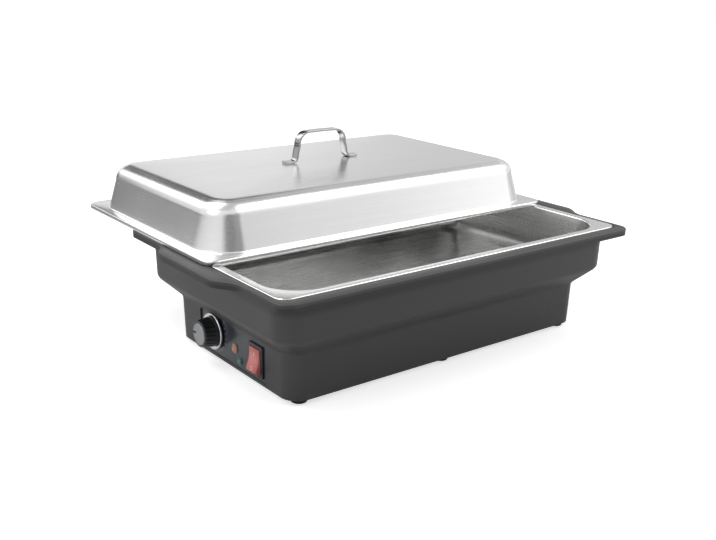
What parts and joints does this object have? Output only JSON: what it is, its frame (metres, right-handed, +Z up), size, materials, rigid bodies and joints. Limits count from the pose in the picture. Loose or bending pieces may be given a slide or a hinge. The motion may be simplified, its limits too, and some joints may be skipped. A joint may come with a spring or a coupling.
{
  "type": "electric chafing dish",
  "caption": "Electric chafing dish: two-tier plastic housing with thermostat and rocker switch, water tray, gastronorm food pan and a domed stainless lid slid back.",
  "frame": {"origin": "on the ground under the middle of the whole footprint, the slid-back lid included", "axes": "+Z up, +X along the long side away from the control end, +Y towards the side that the lid is slid to"},
  "size_m": [0.58, 0.4934, 0.2499],
  "materials": {
    "housing_plastic": "satin, fine grain",
    "black_plastic": "satin",
    "knob_plastic": "satin",
    "knob_trim": "satin",
    "panel_plastic": "semi-gloss",
    "galvanised_sheet": "dull",
    "brushed_stainless": "brushed",
    "pan_stainless": "satin",
    "lid_stainless": "brushed",
    "polished_stainless": "polished",
    "silicone_seal": "matte",
    "cast_aluminium": "as cast",
    "element_sheath": "heat tinted",
    "zinc_steel": "zinc plated",
    "nylon": "matte",
    "brass_fitting": "machined",
    "copper_capillary": "drawn copper",
    "amber_lens": "clear tinted",
    "green_lens": "clear tinted",
    "red_plastic": "gloss",
    "foot_rubber": "matte"
  },
  "bodies": {
    "base": {"base_housing": "housing_plastic", "bottom_plate": "galvanised_sheet", "foot_1": "foot_rubber", "foot_2": "foot_rubber", "foot_3": "foot_rubber", "foot_4": "foot_rubber", "foot_5": "foot_rubber", "foot_6": "foot_rubber", "foot_screw_1": "zinc_steel", "foot_screw_2": "zinc_steel", "foot_screw_3": "zinc_steel", "foot_screw_4": "zinc_steel", "foot_screw_5": "zinc_steel", "foot_screw_6": "zinc_steel", "water_tray": "brushed_stainless", "tray_seal": "silicone_seal", "heating_plate": "cast_aluminium", "heating_element": "element_sheath", "element_clamp_1": "zinc_steel", "element_clamp_2": "zinc_steel", "heat_shield": "galvanised_sheet", "thermal_cutout": "black_plastic", "control_panel": "panel_plastic", "thermostat_body": "nylon", "thermostat_nut": "brass_fitting", "thermostat_capillary": "copper_capillary", "bulb_clip": "zinc_steel", "amber_lamp_lens": "amber_lens", "amber_lamp_body": "nylon", "green_lamp_lens": "green_lens", "green_lamp_body": "nylon", "switch_frame": "black_plastic", "terminal_block": "nylon", "cable_gland": "black_plastic", "gland_nut": "black_plastic"},
    "knob": {"control_knob": "knob_plastic", "knob_cap": "knob_trim", "knob_skirt": "knob_trim", "thermostat_shaft": "zinc_steel"},
    "rocker": {"switch_rocker": "red_plastic"},
    "food_pan": {"food_pan": "pan_stainless"},
    "lid": {"lid_shell": "lid_stainless", "lid_handle": "polished_stainless", "handle_washer_1": "zinc_steel", "handle_washer_2": "zinc_steel", "handle_screw_1": "zinc_steel", "handle_screw_2": "zinc_steel"}
  },
  "joints": [
    {"name": "knob_turn", "type": "hinge", "parent": "base", "child": "knob", "pos_m": [-0.24, -0.02995, 0.0393], "axis": [1, 0, 0], "range_deg": [0, 285]},
    {"name": "rocker_tilt", "type": "hinge", "parent": "base", "child": "rocker", "pos_m": [-0.23115, -0.12625, 0.0345], "axis": [0, -1, 0], "range_deg": [0, 22]},
    {"name": "pan_lift", "type": "slide", "parent": "base", "child": "food_pan", "axis": [0, 0, 1], "range_m": [0, 0.16]},
    {"name": "lid_slide", "type": "slide", "parent": "food_pan", "child": "lid", "axis": [0, -1, 0], "range_m": [0, 0.145]}
  ]
}
